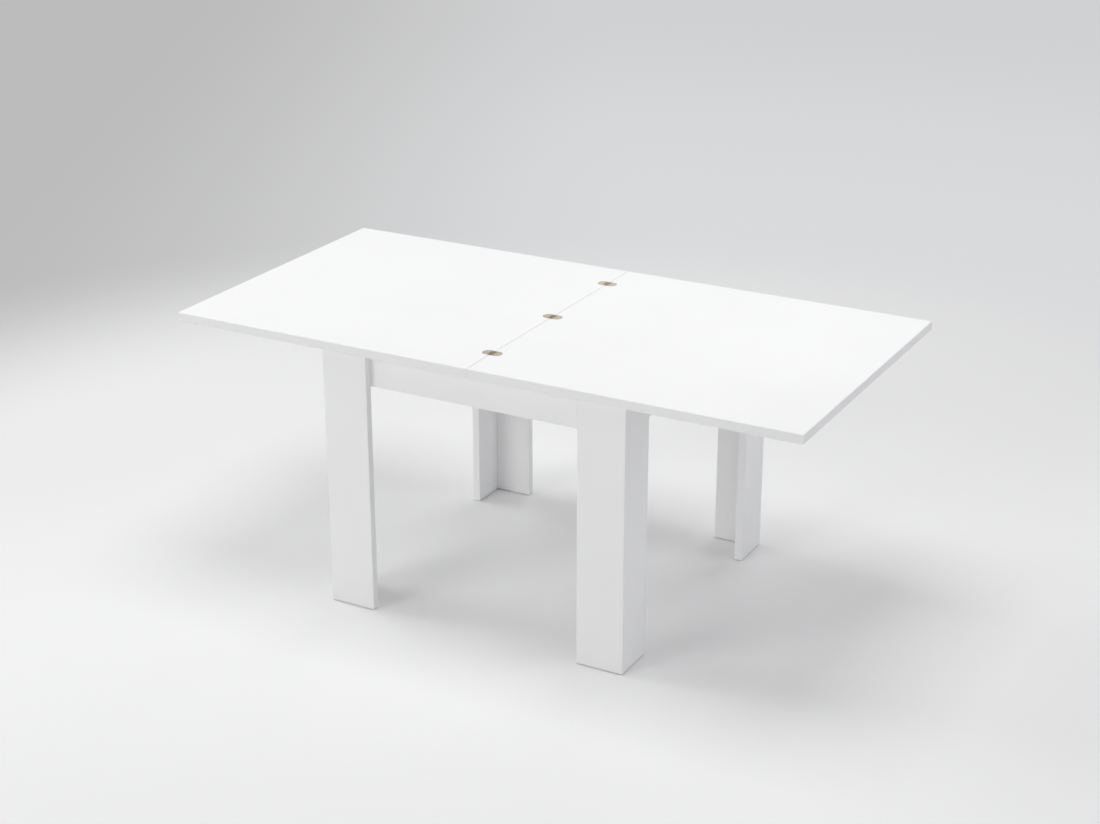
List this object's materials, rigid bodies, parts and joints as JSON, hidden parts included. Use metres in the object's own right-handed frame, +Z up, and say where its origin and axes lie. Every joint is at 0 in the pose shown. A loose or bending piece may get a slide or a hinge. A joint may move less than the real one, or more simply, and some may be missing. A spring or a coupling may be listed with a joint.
{
  "type": "extendable table",
  "caption": "Rectangular table on board-built angle legs; its hinged top folds over like a book on flush link hinges and slides along the frame to close to a square.",
  "frame": {"origin": "on the floor under the middle of the opened top, which is also the middle of the base", "axes": "+X along the opened top towards the folding leaf, +Y from the front to the back, +Z up"},
  "size_m": [1.8, 0.9, 0.754],
  "materials": {
    "melamine_board": "white satin melamine on chipboard",
    "edge_band": "white satin edging",
    "brass": "polished and slightly dulled",
    "aluminium_profile": "extruded, natural",
    "zinc_plated_steel": "bright zinc plated",
    "nylon": "natural nylon",
    "dark_plastic": "dark grey moulded",
    "felt": "pressed light grey felt",
    "beech": "bare"
  },
  "bodies": {
    "base_frame": {"front_apron": "melamine_board", "back_apron": "melamine_board", "left_apron": "melamine_board", "right_apron": "melamine_board", "front_left_leg_face": "melamine_board", "front_left_leg_return": "melamine_board", "front_right_leg_face": "melamine_board", "front_right_leg_return": "melamine_board", "back_left_leg_face": "melamine_board", "back_left_leg_return": "melamine_board", "back_right_leg_face": "melamine_board", "back_right_leg_return": "melamine_board", "leg_dowels": "beech", "frame_dowels": "beech", "frame_cams": "zinc_plated_steel", "frame_cam_bolts": "zinc_plated_steel", "leg_bolts": "zinc_plated_steel", "leg_inserts": "zinc_plated_steel", "foot_glides": "dark_plastic", "front_glide_strip": "felt", "back_glide_strip": "felt", "left_glide_strip": "felt", "right_glide_strip": "felt", "front_channel": "aluminium_profile", "back_channel": "aluminium_profile", "channel_screws": "zinc_plated_steel", "channel_stops": "dark_plastic"},
    "sliding_leaf_body": {"sliding_leaf": "melamine_board", "sliding_leaf_front_band": "edge_band", "sliding_leaf_back_band": "edge_band", "sliding_leaf_outer_band": "edge_band", "sliding_leaf_seam_band": "edge_band", "front_slide_rail": "aluminium_profile", "back_slide_rail": "aluminium_profile", "rail_screws": "zinc_plated_steel", "rail_shoes": "nylon", "front_hinge_left_plate": "brass", "middle_hinge_left_plate": "brass", "back_hinge_left_plate": "brass", "left_hinge_screws": "brass", "left_hinge_pins": "brass"},
    "hinge_links": {"front_hinge_link": "brass", "middle_hinge_link": "brass", "back_hinge_link": "brass"},
    "folding_leaf_body": {"folding_leaf": "melamine_board", "folding_leaf_front_band": "edge_band", "folding_leaf_back_band": "edge_band", "folding_leaf_outer_band": "edge_band", "folding_leaf_seam_band": "edge_band", "front_hinge_right_plate": "brass", "middle_hinge_right_plate": "brass", "back_hinge_right_plate": "brass", "right_hinge_screws": "brass", "right_hinge_pins": "brass"}
  },
  "joints": [
    {"name": "top_slide", "type": "slide", "parent": "base_frame", "child": "sliding_leaf_body", "axis": [1, 0, 0], "range_m": [0, 0.45]},
    {"name": "link_pivot", "type": "hinge", "parent": "sliding_leaf_body", "child": "hinge_links", "pos_m": [-0.003, 0, 0.7515], "axis": [0, -1, 0], "range_deg": [0, 90]},
    {"name": "leaf_pivot", "type": "hinge", "parent": "hinge_links", "child": "folding_leaf_body", "pos_m": [0.003, 0, 0.7515], "axis": [0, -1, 0], "range_deg": [0, 90]}
  ]
}
